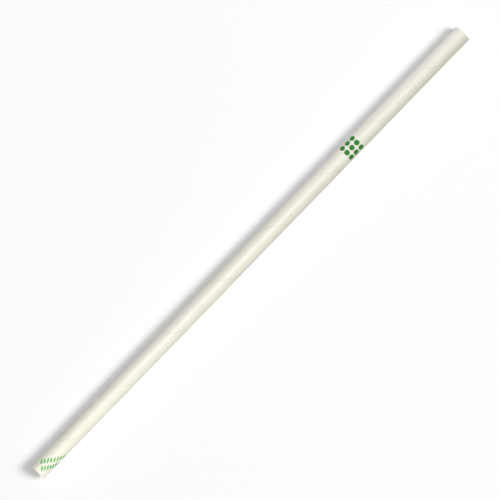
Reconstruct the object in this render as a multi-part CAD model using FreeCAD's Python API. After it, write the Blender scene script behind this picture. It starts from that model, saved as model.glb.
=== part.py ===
import FreeCAD, Part

import math
import os

# A plain paper drinking straw, wound from paper strips glued in a spiral into one open tube.
# It lies on a flat surface: the axis runs along X, half-way along is at x = 0, and the
# surface is z = 0. The end at -X is the one that the small printed rows are nearest to.
# The outer strip meets itself edge to edge all the way round, and the narrow gap between
# its edges is the spiral line that shows on the outside. All lengths are millimetres.

# Driving dimensions
straw_length = 197.0        # cut length
outer_diameter = 6.0        # across the outside of the outer strip
outer_ply = 0.10            # thickness of the white outer strip
core_ply = 0.15             # thickness of each strip under it, glue included
core_plies = 2              # how many strips lie under the outer one
seam_pitch = 23.8           # how far along the straw the outer strip moves on in one turn
seam_gap = 0.20             # gap between neighbouring edges of the outer strip, at its mouth
seam_foot = 0.12            # the same gap at its foot, where glue has filled the corners
cut_edge_round = 0.05       # how far the knife has softened the edges of the cut ends
rest_band = 1.15            # width of the level underside: the tube is a little out of round there
seam_start = 14.6           # from the -X end to where the gap first crosses the top of the straw

# Allowances of the tools that cut the gap and the underside, not sizes of the straw
tool_overrun = 1.5          # how far they run past each end of the straw
tool_above = 0.30           # how far they stand clear of the outside

outer_radius = outer_diameter / 2
wall = outer_ply + core_plies * core_ply
bore_radius = outer_radius - wall
axis_height = math.sqrt(outer_radius**2 - (rest_band / 2) ** 2)

# Square to its edges the strip moves on by its own width and one gap in each turn, so the
# pitch and the girth give the strip's width. A gap is wider along the straw than across it.
girth = math.pi * outer_diameter
edge_spacing = seam_pitch * girth / math.hypot(seam_pitch, girth)
strip_width = edge_spacing - seam_gap
axial_mouth = seam_gap * seam_pitch / edge_spacing
axial_foot = seam_foot * seam_pitch / edge_spacing

ALONG = FreeCAD.Vector(1, 0, 0)
LOW_END = FreeCAD.Vector(-straw_length / 2, 0, axis_height)


def glued_tube():
    """The wound and glued plies as one open tube, with the softened edges of its cut ends."""
    outside = Part.makeCylinder(outer_radius, straw_length, LOW_END, ALONG)
    bore = Part.makeCylinder(bore_radius, straw_length, LOW_END, ALONG)
    tube = outside.cut(bore)
    rims = [edge for edge in tube.Edges if is_rim(edge)]
    tube = tube.makeFillet(cut_edge_round, rims)

    # The line where the round faces close on themselves goes underneath, into the level band.
    tube.rotate(LOW_END, ALONG, 180)
    return tube


def is_rim(edge):
    """True for the circles where the outside and the bore meet the two cut ends."""
    return isinstance(edge.Curve, Part.Circle) and edge.isClosed()


def seam_cutter():
    """A right-handed thread that fills the gap between the outer strip's edges."""
    height = straw_length + 2 * tool_overrun
    spine = Part.makeHelix(seam_pitch, height, outer_radius)
    low = outer_radius - outer_ply
    high = outer_radius + tool_above
    foot = axial_foot / 2
    top = foot + (axial_mouth - axial_foot) / 2 * (high - low) / outer_ply
    corners = [(low, -foot), (high, -top), (high, top), (low, foot), (low, -foot)]
    section = Part.makePolygon([FreeCAD.Vector(r, 0, z) for r, z in corners])
    thread = Part.Wire(spine.Edges).makePipeShell([section], True, True)

    # The thread is made about Z, starting on +X. Turning Z to X takes +X to -Z, the underside.
    thread.rotate(FreeCAD.Vector(0, 0, 0), FreeCAD.Vector(0, 1, 0), 90)
    from_underside = 0.5 - (seam_start + tool_overrun) / seam_pitch
    thread.rotate(FreeCAD.Vector(0, 0, 0), ALONG, 360 * from_underside)
    thread.translate(LOW_END - ALONG * tool_overrun)
    return thread


def below_rest():
    """What lies under the surface that the straw rests on, as a slab."""
    length = straw_length + 2 * tool_overrun
    across = outer_diameter + 2 * tool_above
    corner = FreeCAD.Vector(-length / 2, -across / 2, -outer_radius)
    return Part.makeBox(length, across, outer_radius, corner)


def straw():
    """The whole straw: the tube with the spiral line cut into it, level where it rests."""
    return glued_tube().cut(seam_cutter()).cut(below_rest())


os.makedirs("parts", exist_ok=True)
shape = straw()
solids = shape.Solids
print("straw: solids", len(solids), "valid", shape.isValid(), "volume mm3", round(shape.Volume, 2))
print("wall", round(wall, 3), "bore radius", round(bore_radius, 3), "strip width", round(strip_width, 2))
solids[0].exportStep("parts/straw_tube.step")
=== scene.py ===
import math

import bpy
import numpy as np
from mathutils import Matrix, Vector


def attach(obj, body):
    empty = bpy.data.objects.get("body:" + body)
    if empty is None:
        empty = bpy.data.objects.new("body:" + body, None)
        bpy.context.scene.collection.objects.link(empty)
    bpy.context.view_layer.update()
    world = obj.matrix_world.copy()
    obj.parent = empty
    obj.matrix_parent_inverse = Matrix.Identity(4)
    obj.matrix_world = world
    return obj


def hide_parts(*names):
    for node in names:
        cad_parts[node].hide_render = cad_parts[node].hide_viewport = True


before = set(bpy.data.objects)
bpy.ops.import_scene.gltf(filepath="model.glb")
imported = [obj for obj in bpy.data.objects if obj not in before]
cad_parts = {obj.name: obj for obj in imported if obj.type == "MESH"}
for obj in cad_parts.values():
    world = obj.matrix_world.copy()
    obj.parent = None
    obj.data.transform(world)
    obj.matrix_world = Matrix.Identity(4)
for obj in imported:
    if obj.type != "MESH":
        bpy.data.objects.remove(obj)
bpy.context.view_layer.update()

# A straight drinking straw wound from paper strips, lying on a pale surface. The straw's sizes
# are in millimetres until they reach Blender, which has metres. theta is the angle round the
# straw from its top towards -Y, and the seams are right-handed: x = seamX + pitch theta / (2 pi).


class Term:
    # One output socket of a node. Arithmetic on it adds Math nodes to the same tree.
    def __init__(self, shader, socket):
        self.shader = shader
        self.socket = socket

    def math(self, operation, *others):
        return self.shader.math(operation, self, *others)

    def __add__(self, other):
        return self.math("ADD", other)

    def __sub__(self, other):
        return self.math("SUBTRACT", other)

    def __mul__(self, other):
        return self.math("MULTIPLY", other)

    def __truediv__(self, other):
        return self.math("DIVIDE", other)

    def __radd__(self, other):
        return self.shader.math("ADD", other, self)

    def __rsub__(self, other):
        return self.shader.math("SUBTRACT", other, self)

    def __rmul__(self, other):
        return self.shader.math("MULTIPLY", other, self)

    def __rtruediv__(self, other):
        return self.shader.math("DIVIDE", other, self)

    def __neg__(self):
        return self.math("MULTIPLY", -1.0)

    def __abs__(self):
        return self.math("ABSOLUTE")


class Shader:
    # The node tree of a material or the world, with one way to add a node and join its sockets.
    def __init__(self, owner):
        self.owner = owner
        owner.use_nodes = True
        self.tree = owner.node_tree
        self.tree.nodes.clear()

    def node(self, kind, settings=None, sockets=None, output=0):
        # Settings are set first. A Term given for a socket is joined to it, and a value is set.
        made = self.tree.nodes.new(kind)
        for key, value in (settings or {}).items():
            setattr(made, key, value)
        for key, value in (sockets or {}).items():
            if isinstance(value, Term):
                self.tree.links.new(value.socket, made.inputs[key])
            else:
                made.inputs[key].default_value = value
        return Term(self, made.outputs[output]) if made.outputs else made

    def math(self, operation, *values):
        return self.node("ShaderNodeMath", {"operation": operation}, dict(enumerate(values)))

    def vector(self, operation, *values):
        return self.node("ShaderNodeVectorMath", {"operation": operation}, dict(enumerate(values)))

    def mixColour(self, factor, first, second):
        # first at factor 0, second at factor 1
        sockets = {0: factor, 6: first, 7: second}
        return self.node("ShaderNodeMix", {"data_type": "RGBA"}, sockets, 2)

    def fade(self, value, start, end):
        # 0 at start, 1 at end, easing in and out between them; start may be above end
        settings = {"interpolation_type": "SMOOTHSTEP", "clamp": True}
        sockets = {0: value, 1: start, 2: end, 3: 0.0, 4: 1.0}
        return self.node("ShaderNodeMapRange", settings, sockets)

    def noise(self, place, scale, detail, roughness):
        sockets = {"Vector": place, "Scale": scale, "Detail": detail, "Roughness": roughness}
        return self.node("ShaderNodeTexNoise", {"noise_dimensions": "3D"}, sockets)

    def plainView(self):
        # 1 where the camera, a reflection or glass looks, and 0 for the light that falls on things
        rays = self.node("ShaderNodeLightPath").socket.node.outputs
        names = ("Is Camera Ray", "Is Glossy Ray", "Is Transmission Ray")
        camera, glossy, through = (Term(self, rays[name]) for name in names)
        return camera.math("MAXIMUM", glossy).math("MAXIMUM", through)


def linear(red, green, blue):
    # An sRGB colour of 0 to 255 as the linear colour that Blender's sockets take: v / 12.92 for
    # the darkest, and ((v + 0.055) / 1.055)^2.4 above them
    parts = np.array([red, green, blue]) / 255
    low = parts / 12.92
    high = ((parts + 0.055) / 1.055) ** 2.4
    return (*np.where(parts <= 0.04045, low, high).tolist(), 1.0)


# The straw's mesh
straw = {
    "length": 197.0,          # cut length
    "radius": 3.0,            # outside of the outer strip
    "bore": 2.6,              # inside of the innermost strip
    "pitch": 23.8,            # how far the winding moves on in one turn
    "seamStart": 14.6,        # from the -X end to where the outer strip's seam crosses the top
    "seamReach": 0.30,        # half width of the soft valley where the strip's edges meet
    "seamDepth": 0.020,
    "gapReach": 0.055,        # half width of the crack between the edges
    "gapDepth": 0.030,
    "underSeam": 0.458,       # the covered strip's seam, in turns after the outer one
    "underReach": 0.45,
    "underDepth": 0.008,
    "boreSeam": 0.73,         # the innermost strip's seam inside the bore, in turns
    "boreReach": 0.12,
    "boreDepth": 0.03,
    "skin": 0.10,             # how far into the wall the seams and waves die out
    "waviness": 0.004,        # unevenness of the glued strips
    "waveLengths": (2.9, 7.3),
    "edgeRound": 0.05,        # softening of the cut ends
    "restBand": 1.15,         # width of the level underside
    "plies": (2.90, 2.75),    # radii where one ply ends and the next begins
    "plyReach": 0.016,
    "plyStep": 0.018,         # how deep the glue line between plies sits in the cut end
}
grid = {
    "outerRows": 421,
    "boreRows": 181,
    "cornerRows": 5,          # in each quarter round of a cut end
    "endRows": 15,            # in the flat of a cut end
    "evenColumns": 72,
    # more columns at each seam: its turns, how far to either side, and how many
    "seams": ((0.0, 0.036, 31), (straw["underSeam"], 0.05, 11), (straw["boreSeam"], 0.014, 9)),
    "leastGap": 0.0011,       # between neighbouring columns, in turns
}
toMetres = 0.001
girth = 2 * math.pi * straw["radius"]
windingAngle = math.atan2(girth, straw["pitch"])
edgeSpacing = straw["pitch"] * math.sin(windingAngle)
seamX = straw["seamStart"] - straw["length"] / 2
axisHeight = math.sqrt(straw["radius"] ** 2 - (straw["restBand"] / 2) ** 2)


def windingColumns():
    # theta' of the grid's columns, in turns: close together at the three seams, even elsewhere
    columns = [np.arange(grid["evenColumns"]) / grid["evenColumns"]]
    for seam, reach, count in grid["seams"]:
        columns.append((1 - seam) % 1 + np.linspace(-reach, reach, count))
    turns = np.sort(np.concatenate(columns) % 1)
    return turns[np.append(True, np.diff(turns) > grid["leastGap"])]


def sectionRows():
    # The closed outline that is turned round the axis, as x and r of each row. Its corners are
    # quarter rounds, x = half + e (sin a - 1) and r = edge + e (cos a - 1), and the flat of a cut
    # end is sunk at each glue line: x = half - step * exp(-((r - ply) / reach)^2).
    half, e = straw["length"] / 2, straw["edgeRound"]
    outer, bore = straw["radius"], straw["bore"]
    turn = np.linspace(0, math.pi / 2, grid["cornerRows"] + 1)[1:]
    flat = np.linspace(outer - e, bore + e, grid["endRows"] + 2)[1:-1]
    lines = sum(np.exp(-((flat - ply) / straw["plyReach"]) ** 2) for ply in straw["plies"])
    inwards = turn[::-1]
    sunk = half - straw["plyStep"] * lines
    endX = [half + e * (np.sin(turn) - 1), sunk, half + e * (np.sin(inwards) - 1)]
    endR = [outer + e * (np.cos(turn) - 1), flat, bore - e * (np.cos(inwards) - 1)]
    endX, endR = np.concatenate(endX), np.concatenate(endR)
    along = np.linspace(-half + e, half - e, grid["outerRows"])
    back = np.linspace(half - e, -half + e, grid["boreRows"])
    x = np.concatenate([along, endX, back, -endX[::-1]])
    r = np.concatenate([np.full(len(along), outer), endR, np.full(len(back), bore), endR[::-1]])
    return x, r, len(endX)


def dip(turns, centre, reach, depth):
    # depth * exp(-(w / reach)^2), where w is the distance in mm square across the seam at centre
    w = ((turns - centre + 0.5) % 1 - 0.5) * edgeSpacing
    return depth * np.exp(-((w / reach) ** 2))


def windTube():
    # theta = 2 pi (theta' + (x - seamX) / pitch), y = -r sin theta, z = axisHeight + r cos theta.
    # r is the section's, less the dips of the seams outside, plus that of the seam in the bore,
    # and z is never below 0, where the straw lies.
    x, section, endRows = sectionRows()
    turns = windingColumns()
    skin = straw["skin"]
    outside = np.clip((section - straw["radius"] + skin) / skin, 0, 1)[:, None]
    inside = np.clip((straw["bore"] + skin - section) / skin, 0, 1)[:, None]
    seam = dip(turns, 0, straw["seamReach"], straw["seamDepth"])
    seam += dip(turns, 0, straw["gapReach"], straw["gapDepth"])
    seam += dip(turns, 1 - straw["underSeam"], straw["underReach"], straw["underDepth"])
    boreSeam = dip(turns, 1 - straw["boreSeam"], straw["boreReach"], straw["boreDepth"])
    theta = 2 * np.pi * (turns[None, :] + (x[:, None] - seamX) / straw["pitch"])
    short, long = (x[:, None] / waveLength for waveLength in straw["waveLengths"])
    wave = np.sin(short + np.sin(theta)) * np.sin(2 * theta + long)
    r = section[:, None] - outside * seam[None, :] + inside * boreSeam[None, :]
    r = r - outside * straw["waviness"] * (1 + wave) / 2
    height = np.maximum(axisHeight + r * np.cos(theta), 0)
    places = [x[:, None] + 0 * theta, -r * np.sin(theta), height]
    return np.stack(places, axis=-1) * toMetres, turns, endRows


def closedQuads(rows, columns):
    # Corners of the quads of a grid that is closed both ways, in the order that faces outwards
    i, j = np.meshgrid(np.arange(rows), np.arange(columns), indexing="ij")
    nextI, nextJ = (i + 1) % rows, (j + 1) % columns
    corners = [i * columns + j, i * columns + nextJ, nextI * columns + nextJ, nextI * columns + j]
    return np.stack(corners, axis=-1)


layout = {                        # where the paper lies on the flat square
    "sides": (0.008, 0.992),
    "bands": 3,                   # the outside is laid out in this many long bands
    "bandFoot": 0.008,
    "bandStep": 0.292,
    "bandHeight": 0.282,
    "boreBand": (0.884, 0.958),
    "endBand": (0.966, 0.992),    # both cut ends lie side by side in one band
    "rightEnd": (0.008, 0.490),
    "leftEnd": (0.510, 0.992),
}


def paperLayout(turns, endRows):
    # Where each quad's corners lie on the flat square: u = share along the patch, v = theta'
    # across it, and the other way round at the cut ends.
    columns = np.append(turns, 1.0)
    sides, ends = layout["sides"], layout["endBand"]
    outerQuads = (grid["outerRows"] - 1) // layout["bands"]
    feet = [layout["bandFoot"] + layout["bandStep"] * k for k in range(layout["bands"])]
    patches = [(outerQuads, *sides, foot, foot + layout["bandHeight"], False) for foot in feet]
    patches += [(endRows + 1, *layout["rightEnd"], *ends, True)]
    patches += [(grid["boreRows"] - 1, *sides, *layout["boreBand"], False)]
    patches += [(endRows + 1, *layout["leftEnd"], *ends, True)]
    sheets = []
    for count, u0, u1, v0, v1, acrossFirst in patches:
        share = np.linspace(0, 1, count + 1)
        s, c = np.meshgrid(share, columns, indexing="ij")
        u, v = (c, s) if acrossFirst else (s, c)
        spots = np.stack([u0 + u * (u1 - u0), v0 + v * (v1 - v0)], axis=-1)
        corners = [spots[:-1, :-1], spots[:-1, 1:], spots[1:, 1:], spots[1:, :-1]]
        sheets.append(np.stack(corners, axis=2))
    return np.concatenate(sheets)


points, turns, endRows = windTube()
quads = closedQuads(points.shape[0], points.shape[1])
mesh = bpy.data.meshes.new("strawPaper")
mesh.from_pydata(points.reshape(-1, 3).tolist(), [], quads.reshape(-1, 4).tolist())
mesh.uv_layers.new(name="layout").data.foreach_set("uv", paperLayout(turns, endRows).ravel())
mesh.polygons.foreach_set("use_smooth", np.ones(len(mesh.polygons), dtype=bool))
mesh.update()
tube = bpy.data.objects.new("strawPaper", mesh)
bpy.context.scene.collection.objects.link(tube)
print("straw mesh:", len(mesh.polygons) * 2, "triangles,", len(turns), "columns")

# The straw's paper and print
paperColours = {
    "cream": (238, 236, 221),
    "shade": (230, 227, 211),     # thinner and dirtier patches
    "cutEdge": (226, 221, 204),
    "crack": (196, 190, 174),     # painted shade in the crack between the strip's edges
    "ink": (30, 124, 37),         # of the dots
    "rowInk": (60, 182, 64),      # of the two rows
    "speck": (150, 112, 72),
}
paper = {
    "roughness": 0.44,
    "roughnessSpread": 0.10,      # with the fibres
    "inkRoughness": 0.80,
    "gloss": 0.50,                # how strongly the sized face reflects
    "reliefStrength": 0.35,
    "reliefDepth": 0.00003,       # metres
    "pulpShare": 0.5,             # of the relief, beside the fibres'
    "wallFade": (2.80, 2.93),     # radii between which the print and the seam's painted shade come in
    "crackFade": (0.09, 0.02),    # from the seam's middle, in mm
    "seamShadeShare": 0.6,
    "cutFade": (0.10, 0.02),      # from the cut ends, in mm
    "cutShare": 0.8,
}
grain = {                         # noises: how many to a millimetre, detail, roughness
    "cloud": (0.22, 3.0, 0.55),
    "cloudShows": (0.42, 0.72, 0.35),   # where it begins, where it is whole, how strong
    "fibre": (1.6, 4.0, 0.6),
    "fibreStretch": (1.0, 2.2, 2.2),
    "fibreShows": (0.60, 0.78, 0.20),
    "pulp": (9.0, 2.0, 0.5),
    "inkWear": (5.0, 3.0, 0.6),
    "inkWearShows": (0.56, 0.74, 0.15),
}
motif = {                         # nine dots, three along the straw and three round it
    "x": 145.2,                   # its middle, from the -X end
    "spacing": 2.25,
    "dotRadius": 0.92,
    "softness": 0.05,
}
rows = {                          # two rows of short slanted strokes, along the winding
    "start": 1.16,
    "end": 12.0,
    "centres": (-3.22, -0.97),
    "strokeSpacings": (1.08, 0.96),
    "halfHeight": 0.72,
    "strokeRadius": 0.27,
    "slant": 0.35,
    "softness": 0.06,
}
specks = {
    "spots": ((115.8, 1.20, 0.22), (91.1, 3.17, 0.20)),   # x from the -X end, arc, radius
    "narrowing": 0.8,             # they are a little longer along the straw
    "fade": (1.3, 0.5),           # in radii
    "share": 0.7,
}

shader = Shader(bpy.data.materials.new("strawPaper"))
where = shader.node("ShaderNodeTexCoord", output=3)
axes = shader.node("ShaderNodeSeparateXYZ", sockets={0: where})
x = axes / toMetres + straw["length"] / 2
y = Term(shader, axes.socket.node.outputs[1]) / toMetres
z = Term(shader, axes.socket.node.outputs[2]) / toMetres - axisHeight
theta = (-y).math("ARCTAN2", z)
arc = theta * straw["radius"]
radius = (y * y + z * z).math("SQRT")
small = shader.vector("MULTIPLY", where, (1 / toMetres,) * 3)


def outsideOnly(mask):
    # Keeps a mask off the bore and the flat of the cut ends: times 0 inside, 1 at the outside
    return mask * shader.fade(radius, *paper["wallFade"])


def shows(noise, start, end, share):
    # 0 where the noise is below start, share where it is above end
    return shader.fade(noise, start, end) * share


def fromNearestLine(distance, step):
    # distance less the nearest of -step, 0 and step
    line = (distance / step).math("ROUND").math("MAXIMUM", -1.0).math("MINIMUM", 1.0)
    return distance - line * step


def dotLattice():
    # Nine dots: 1 where the distance to the nearest lattice point is below a dot's radius
    along = fromNearestLine(x - motif["x"], motif["spacing"])
    around = fromNearestLine(arc, motif["spacing"])
    away = (along * along + around * around).math("SQRT")
    edge, soft = motif["dotRadius"], motif["softness"]
    return shader.fade(away, edge + soft, edge - soft)


def strokeRow(centre, spacing):
    # Rounded strokes: away = distance to a short line that leans by slant from the row's upright
    c, s = math.cos(windingAngle), math.sin(windingAngle)
    along = x * c + arc * s - rows["start"]
    up = arc * c - x * s - centre
    lean = along + up * rows["slant"]
    cell = lean - ((lean / spacing).math("FLOOR") + 0.5) * spacing
    edge, soft = rows["strokeRadius"], rows["softness"]
    over = (abs(up) - (rows["halfHeight"] - edge)).math("MAXIMUM", 0.0)
    away = (cell * cell + over * over).math("SQRT")
    stroke = shader.fade(away, edge + soft, edge - soft)
    count = math.floor((rows["end"] - rows["start"]) / spacing)
    return stroke * lean.math("GREATER_THAN", 0.0) * lean.math("LESS_THAN", count * spacing)


def speckMask(fromEnd, atArc, size):
    # away = sqrt((narrowing dx)^2 + darc^2), 0 beyond the speck and 1 in its middle
    a, b = (x - fromEnd) * specks["narrowing"], arc - atArc
    away = (a * a + b * b).math("SQRT")
    outer, inner = specks["fade"]
    return shader.fade(away, size * outer, size * inner)


turnsAfter = (x - straw["seamStart"]) / straw["pitch"] - theta / (2 * math.pi)
across = abs(turnsAfter - turnsAfter.math("ROUND")) * edgeSpacing
# Painted shade: the paper is darkened along the middle of the outer seam, where the crack between
# the strip's edges lies in shadow
crack = outsideOnly(shader.fade(across, *paper["crackFade"])) * paper["seamShadeShare"]
half = straw["length"] / 2
cutStart, cutEnd = (half - depth for depth in paper["cutFade"])
cutFace = shader.fade(abs(x - half), cutStart, cutEnd) * paper["cutShare"]
cloud = shader.noise(small, *grain["cloud"])
stretched = shader.vector("MULTIPLY", small, grain["fibreStretch"])
fibre = shader.noise(stretched, *grain["fibre"])
pulp = shader.noise(small, *grain["pulp"])
inkWear = shader.noise(small, *grain["inkWear"])

strokes = [strokeRow(*row) for row in zip(rows["centres"], rows["strokeSpacings"])]
strokes = strokes[0].math("MAXIMUM", strokes[1])
worn = 1.0 - shows(inkWear, *grain["inkWearShows"])
ink = outsideOnly(dotLattice().math("MAXIMUM", strokes)) * worn

tones = {name: linear(*colour) for name, colour in paperColours.items()}
inkColour = shader.mixColour(strokes, tones["ink"], tones["rowInk"])
colour = shader.mixColour(shows(cloud, *grain["cloudShows"]), tones["cream"], tones["shade"])
colour = shader.mixColour(shows(fibre, *grain["fibreShows"]), colour, tones["shade"])
colour = shader.mixColour(cutFace, colour, tones["cutEdge"])
# the seam's painted shade
colour = shader.mixColour(crack, colour, tones["crack"])
colour = shader.mixColour(ink, colour, inkColour)
for spot in specks["spots"]:
    dirt = outsideOnly(speckMask(*spot)) * specks["share"]
    colour = shader.mixColour(dirt, colour, tones["speck"])
matt = ink * (paper["inkRoughness"] - paper["roughness"])
sheen = paper["roughness"] + (fibre - 0.5) * paper["roughnessSpread"] + matt
relief = shader.node("ShaderNodeBump", sockets={
    "Strength": paper["reliefStrength"],
    "Distance": paper["reliefDepth"],
    "Height": fibre + pulp * paper["pulpShare"],
})
surface = shader.node("ShaderNodeBsdfPrincipled", sockets={
    "Base Color": colour,
    "Roughness": sheen,
    "Normal": relief,
    "Specular IOR Level": paper["gloss"],
})
shader.node("ShaderNodeOutputMaterial", sockets={0: surface})
mesh.materials.append(shader.owner)

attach(tube, "root")
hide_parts("straw_tube")
print("straw paper: print, specks and seams set")

# The pale floor: what the camera and reflections see of it is lifted to plain white, and the
# straw's shadow stays
white = (1.0, 1.0, 1.0, 1.0)
floorLook = {"size": 6.0, "colour": (250, 250, 250), "lift": 0.372}
side = floorLook["size"] / 2
corners = [(-side, -side, 0), (side, -side, 0), (side, side, 0), (-side, side, 0)]
floorMesh = bpy.data.meshes.new("floor")
floorMesh.from_pydata(corners, [], [(0, 1, 2, 3)])
floor = bpy.data.objects.new("floor", floorMesh)
bpy.context.scene.collection.objects.link(floor)
ground = Shader(bpy.data.materials.new("floor"))
diffuse = ground.node("ShaderNodeBsdfDiffuse", sockets={"Color": linear(*floorLook["colour"])})
lift = ground.plainView() * floorLook["lift"]
glow = ground.node("ShaderNodeEmission", sockets={"Color": white, "Strength": lift})
blend = ground.node("ShaderNodeAddShader", sockets={0: diffuse, 1: glow})
ground.node("ShaderNodeOutputMaterial", sockets={0: blend})
floorMesh.materials.append(ground.owner)

# Lights: soft panels that look at the straw's middle. One over it and one near each end, on
# opposite sides, shape the straw, and the two low ones light its cut ends and mouths. The key and
# a faint large one light the floor, where the key gives the soft shadow on the -X and +Y side.
panels = [
    # name, what it lights, place in metres, side in metres, watts, colour
    ("above", "straw", (0.0, 0.0, 0.50), 0.20, 1.75, (1.0, 1.0, 0.96)),
    ("nearEnd", "straw", (-0.17, -0.13, 0.15), 0.08, 0.23, (1.0, 1.0, 1.03)),
    ("farEnd", "straw", (0.16, 0.13, 0.14), 0.07, 0.115, (1.06, 1.0, 1.30)),
    ("leftMouth", "straw", (-0.45, -0.04, 0.03), 0.14, 0.16, (1.0, 1.0, 1.0)),
    ("rightMouth", "straw", (0.45, 0.04, 0.03), 0.14, 0.16, (1.0, 1.0, 1.0)),
    ("key", "floor", (1.98, -1.98, 3.30), 1.95, 138.0, (1.0, 1.0, 1.02)),
    ("overFloor", "floor", (0.0, 0.0, 1.60), 2.60, 4.6, (1.0, 1.0, 1.0)),
]
lit = {}
for target, thing in (("straw", tube), ("floor", floor)):
    lit[target] = bpy.data.collections.new(target + "Lights")
    lit[target].objects.link(thing)
for name, target, place, size, watts, tint in panels:
    lamp = bpy.data.lights.new(name, "AREA")
    lamp.shape, lamp.size, lamp.energy, lamp.color = "SQUARE", size, watts, tint
    holder = bpy.data.objects.new(name, lamp)
    holder.location = place
    holder.rotation_euler = (-Vector(place)).to_track_quat("-Z", "Y").to_euler()
    holder.light_linking.receiver_collection = lit[target]
    holder.visible_camera = False
    bpy.context.scene.collection.objects.link(holder)

# The air is white to look at and gives no light of its own
world = bpy.data.worlds.new("sky")
air = Shader(world)
seen = {"Color": white, "Strength": air.plainView()}
background = air.node("ShaderNodeBackground", sockets=seen)
air.node("ShaderNodeOutputWorld", sockets={0: background})
bpy.context.scene.world = world
bpy.context.scene.view_settings.view_transform = "Standard"

# The camera looks down from a little nearer the -X end, turned so that the straw climbs to the
# right
view = {
    "foot": (-0.028, 0.0),        # point under the lens, from the point aimed at
    "height": 0.943,
    "axisInPicture": 45.92,       # degrees above the picture's horizontal
    "fieldWidth": 0.16127,        # metres across the picture at the straw
    "aim": (0.00025, 0.00062, 0.003),
    "sensor": 36.0,               # millimetres
    "clip": (0.01, 20.0),
}
roll = math.radians(view["axisInPicture"])
aim = Vector(view["aim"])
place = Vector((view["foot"][0] + aim.x, view["foot"][1] + aim.y, view["height"]))
back = (place - aim).normalized()
pictureUp = Vector((math.sin(roll), math.cos(roll), 0))
right = pictureUp.cross(back).normalized()
pictureUp = back.cross(right)
lens = bpy.data.cameras.new("camera")
lens.sensor_width = view["sensor"]
lens.lens = view["sensor"] * (place - aim).length / view["fieldWidth"]
lens.clip_start, lens.clip_end = view["clip"]
camera = bpy.data.objects.new("camera", lens)
turned = Matrix((right, pictureUp, back)).transposed().to_4x4()
camera.matrix_world = Matrix.Translation(place) @ turned
bpy.context.scene.collection.objects.link(camera)
bpy.context.scene.camera = camera
print("stage, lights and camera set")
